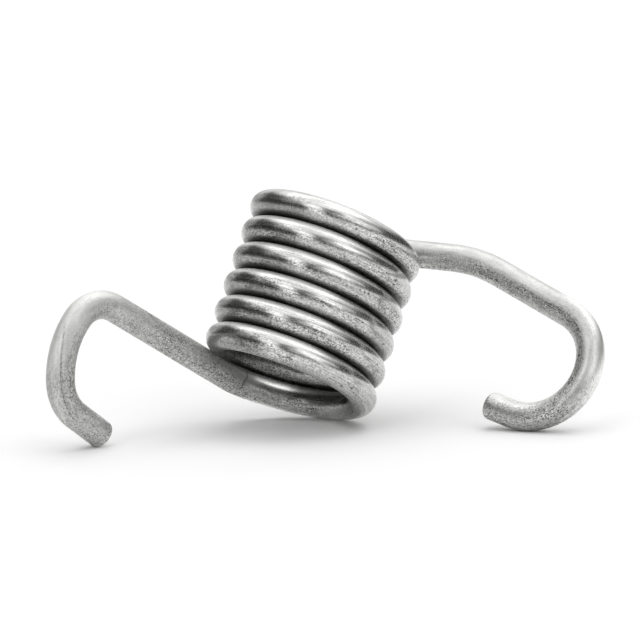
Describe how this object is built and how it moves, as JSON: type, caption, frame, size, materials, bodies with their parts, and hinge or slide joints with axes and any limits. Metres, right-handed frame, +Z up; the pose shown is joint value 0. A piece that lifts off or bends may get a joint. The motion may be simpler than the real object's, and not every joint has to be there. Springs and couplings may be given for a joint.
{
  "type": "footpeg spring",
  "caption": "Close-wound torsion coil of bare round steel wire for a footpeg's pivot pin, with a square hook on its lower leg and a wide C-shaped hook on its upper leg.",
  "frame": {"origin": "middle of the bounding box's underside, on the table that the spring rests on", "axes": "+Z up from the table, +X from the square hook's foot towards the round hook's foot, +Y towards the back of the coil, away from both hooks"},
  "size_m": [0.0582, 0.0256, 0.0257],
  "materials": {
    "spring_wire": "bare drawn spring steel, satin with lengthwise draw lines and a fine speckle"
  },
  "bodies": {
    "root": {"footpeg_spring": "spring_wire"}
  },
  "joints": []
}
